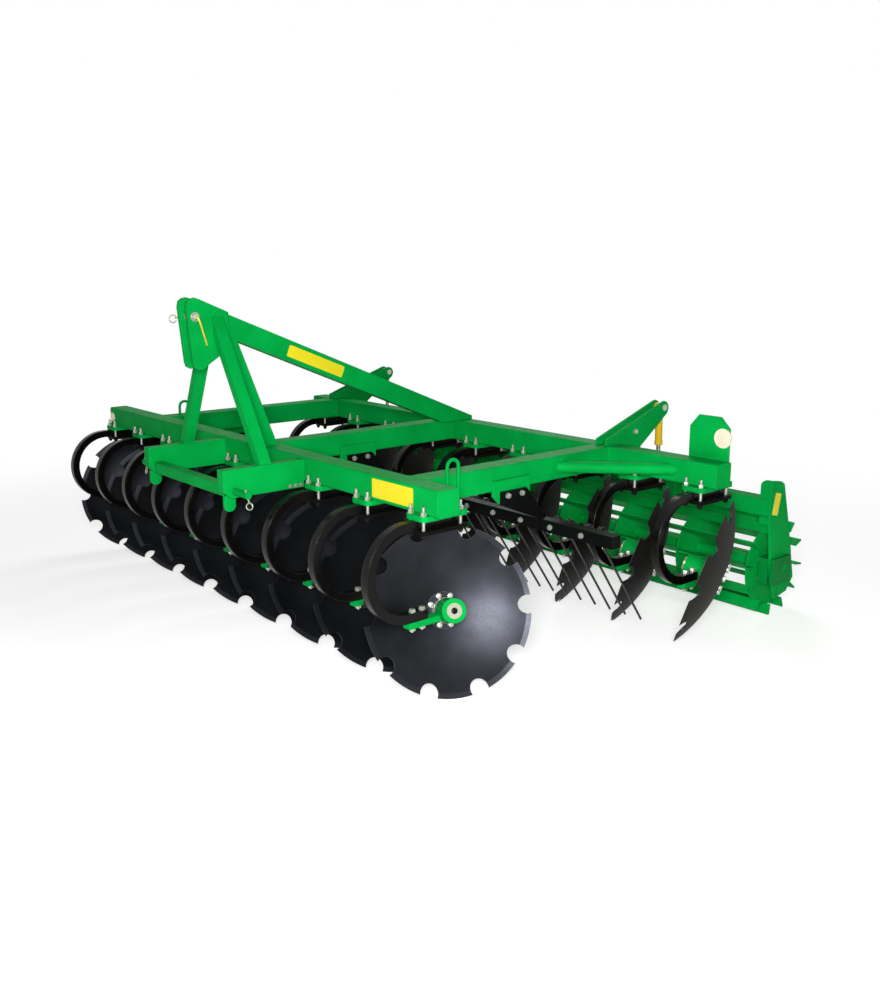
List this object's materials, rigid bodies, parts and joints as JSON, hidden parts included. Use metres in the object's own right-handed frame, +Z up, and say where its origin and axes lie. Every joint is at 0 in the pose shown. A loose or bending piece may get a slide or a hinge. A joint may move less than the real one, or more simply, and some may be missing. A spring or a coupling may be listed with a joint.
{
  "type": "disc harrow",
  "caption": "Three-point mounted compact disc harrow: square-tube frame, two rows of notched discs on spring legs, a tine bar between them, a lattice mast and a cage roller behind.",
  "frame": {"origin": "middle of the footprint, on the ground", "axes": "+X to the machine's left-hand end, -Y towards the tractor, +Z up"},
  "size_m": [3.3424, 2.4044, 1.4472],
  "materials": {
    "green_enamel": "glossy bright green enamel",
    "black_enamel": "glossy black enamel",
    "spring_leg": "black enamel on spring steel",
    "disc_steel": "dark blued boron steel, ground bevel",
    "zinc_pin": "zinc plated steel",
    "spindle": "yellow passivated steel",
    "bearing_block": "cast housing in green enamel"
  },
  "bodies": {
    "frame": {"front_beam": "green_enamel", "rear_beam": "green_enamel", "side_beam_left": "green_enamel", "side_beam_right": "green_enamel", "centre_beam": "green_enamel", "corner_brace": "green_enamel", "lifting_eyes": "green_enamel", "front_legs": "spring_leg", "front_clamps": "green_enamel", "front_carriers": "green_enamel", "rear_legs": "spring_leg", "rear_clamps": "green_enamel", "rear_carriers": "green_enamel", "hitch_arm_left": "green_enamel", "hitch_arm_right": "green_enamel", "lower_link_pins": "zinc_pin", "hitch_tie": "green_enamel", "mast_head": "green_enamel", "mast_legs": "green_enamel", "mast_strut": "green_enamel", "top_bar": "green_enamel", "top_link_pin": "zinc_pin", "tine_bar": "black_enamel", "tine_bar_lugs": "green_enamel", "tine_bar_arms": "black_enamel", "tines": "black_enamel", "roller_brackets": "green_enamel", "bracket_pins": "zinc_pin", "marker_plate": "green_enamel"},
    "disc_front_1": {"disc_front_1": "disc_steel"},
    "disc_front_2": {"disc_front_2": "disc_steel"},
    "disc_front_3": {"disc_front_3": "disc_steel"},
    "disc_front_4": {"disc_front_4": "disc_steel"},
    "disc_front_5": {"disc_front_5": "disc_steel"},
    "disc_front_6": {"disc_front_6": "disc_steel"},
    "disc_front_7": {"disc_front_7": "disc_steel"},
    "disc_front_8": {"disc_front_8": "disc_steel"},
    "disc_front_9": {"disc_front_9": "disc_steel"},
    "disc_rear_1": {"disc_rear_1": "disc_steel"},
    "disc_rear_2": {"disc_rear_2": "disc_steel"},
    "disc_rear_3": {"disc_rear_3": "disc_steel"},
    "disc_rear_4": {"disc_rear_4": "disc_steel"},
    "disc_rear_5": {"disc_rear_5": "disc_steel"},
    "disc_rear_6": {"disc_rear_6": "disc_steel"},
    "disc_rear_7": {"disc_rear_7": "disc_steel"},
    "disc_rear_8": {"disc_rear_8": "disc_steel"},
    "disc_rear_9": {"disc_rear_9": "disc_steel"},
    "roller_frame": {"roller_beam": "green_enamel", "roller_arms": "green_enamel", "roller_end_plates": "green_enamel", "roller_bearings": "bearing_block", "spindle_foot_pins": "zinc_pin"},
    "roller": {"roller_shaft": "green_enamel", "roller_slats": "green_enamel", "roller_discs": "green_enamel"},
    "spindle_tube_left": {"spindle_tube_left": "spindle"},
    "spindle_rod_left": {"spindle_rod_left": "spindle"},
    "spindle_tube_right": {"spindle_tube_right": "spindle"},
    "spindle_rod_right": {"spindle_rod_right": "spindle"}
  },
  "joints": [
    {"name": "front_disc_1_spin", "type": "hinge", "parent": "frame", "child": "disc_front_1", "pos_m": [1.10265, -0.6709, 0.28528], "axis": [0.8474, -0.4318, 0.309], "continuous": true},
    {"name": "front_disc_2_spin", "type": "hinge", "parent": "frame", "child": "disc_front_2", "pos_m": [0.76932, -0.6709, 0.28528], "axis": [0.8474, -0.4318, 0.309], "continuous": true},
    {"name": "front_disc_3_spin", "type": "hinge", "parent": "frame", "child": "disc_front_3", "pos_m": [0.43599, -0.6709, 0.28528], "axis": [0.8474, -0.4318, 0.309], "continuous": true},
    {"name": "front_disc_4_spin", "type": "hinge", "parent": "frame", "child": "disc_front_4", "pos_m": [0.10265, -0.6709, 0.28528], "axis": [0.8474, -0.4318, 0.309], "continuous": true},
    {"name": "front_disc_5_spin", "type": "hinge", "parent": "frame", "child": "disc_front_5", "pos_m": [-0.23068, -0.6709, 0.28528], "axis": [0.8474, -0.4318, 0.309], "continuous": true},
    {"name": "front_disc_6_spin", "type": "hinge", "parent": "frame", "child": "disc_front_6", "pos_m": [-0.56402, -0.6709, 0.28528], "axis": [0.8474, -0.4318, 0.309], "continuous": true},
    {"name": "front_disc_7_spin", "type": "hinge", "parent": "frame", "child": "disc_front_7", "pos_m": [-0.89735, -0.6709, 0.28528], "axis": [0.8474, -0.4318, 0.309], "continuous": true},
    {"name": "front_disc_8_spin", "type": "hinge", "parent": "frame", "child": "disc_front_8", "pos_m": [-1.23068, -0.6709, 0.28528], "axis": [0.8474, -0.4318, 0.309], "continuous": true},
    {"name": "front_disc_9_spin", "type": "hinge", "parent": "frame", "child": "disc_front_9", "pos_m": [-1.56401, -0.6709, 0.28528], "axis": [0.8474, -0.4318, 0.309], "continuous": true},
    {"name": "rear_disc_1_spin", "type": "hinge", "parent": "frame", "child": "disc_rear_1", "pos_m": [1.56401, 0.4731, 0.28528], "axis": [-0.8474, -0.4318, 0.309], "continuous": true},
    {"name": "rear_disc_2_spin", "type": "hinge", "parent": "frame", "child": "disc_rear_2", "pos_m": [1.23068, 0.4731, 0.28528], "axis": [-0.8474, -0.4318, 0.309], "continuous": true},
    {"name": "rear_disc_3_spin", "type": "hinge", "parent": "frame", "child": "disc_rear_3", "pos_m": [0.89735, 0.4731, 0.28528], "axis": [-0.8474, -0.4318, 0.309], "continuous": true},
    {"name": "rear_disc_4_spin", "type": "hinge", "parent": "frame", "child": "disc_rear_4", "pos_m": [0.56402, 0.4731, 0.28528], "axis": [-0.8474, -0.4318, 0.309], "continuous": true},
    {"name": "rear_disc_5_spin", "type": "hinge", "parent": "frame", "child": "disc_rear_5", "pos_m": [0.23068, 0.4731, 0.28528], "axis": [-0.8474, -0.4318, 0.309], "continuous": true},
    {"name": "rear_disc_6_spin", "type": "hinge", "parent": "frame", "child": "disc_rear_6", "pos_m": [-0.10265, 0.4731, 0.28528], "axis": [-0.8474, -0.4318, 0.309], "continuous": true},
    {"name": "rear_disc_7_spin", "type": "hinge", "parent": "frame", "child": "disc_rear_7", "pos_m": [-0.43599, 0.4731, 0.28528], "axis": [-0.8474, -0.4318, 0.309], "continuous": true},
    {"name": "rear_disc_8_spin", "type": "hinge", "parent": "frame", "child": "disc_rear_8", "pos_m": [-0.76932, 0.4731, 0.28528], "axis": [-0.8474, -0.4318, 0.309], "continuous": true},
    {"name": "rear_disc_9_spin", "type": "hinge", "parent": "frame", "child": "disc_rear_9", "pos_m": [-1.10265, 0.4731, 0.28528], "axis": [-0.8474, -0.4318, 0.309], "continuous": true},
    {"name": "roller_lift", "type": "hinge", "parent": "frame", "child": "roller_frame", "pos_m": [-0.01917, 0.46784, 0.71224], "axis": [1, 0, 0], "range_deg": [0, 12]},
    {"name": "roller_spin", "type": "hinge", "parent": "roller_frame", "child": "roller", "pos_m": [-0.01917, 0.97484, 0.22733], "axis": [1, 0, 0], "continuous": true},
    {"name": "spindle_left_swing", "type": "hinge", "parent": "frame", "child": "spindle_tube_left", "pos_m": [1.01583, 0.72784, 0.93024], "axis": [1, 0, 0], "range_deg": [0, 2.44]},
    {"name": "spindle_left_screw", "type": "slide", "parent": "spindle_tube_left", "child": "spindle_rod_left", "axis": [0, 0.0318, -0.9995], "range_m": [-0.0574, 0]},
    {"name": "spindle_right_swing", "type": "hinge", "parent": "frame", "child": "spindle_tube_right", "pos_m": [-1.05417, 0.72784, 0.93024], "axis": [1, 0, 0], "range_deg": [0, 2.44]},
    {"name": "spindle_right_screw", "type": "slide", "parent": "spindle_tube_right", "child": "spindle_rod_right", "axis": [0, 0.0318, -0.9995], "range_m": [-0.0574, 0]}
  ],
  "couplings": [
    {"joint": "spindle_left_swing", "follows": "roller_lift", "ratio": 0.19958},
    {"joint": "spindle_left_screw", "follows": "roller_lift", "m_per_rad": -0.27158},
    {"joint": "spindle_right_swing", "follows": "roller_lift", "ratio": 0.19958},
    {"joint": "spindle_right_screw", "follows": "roller_lift", "m_per_rad": -0.27158}
  ]
}
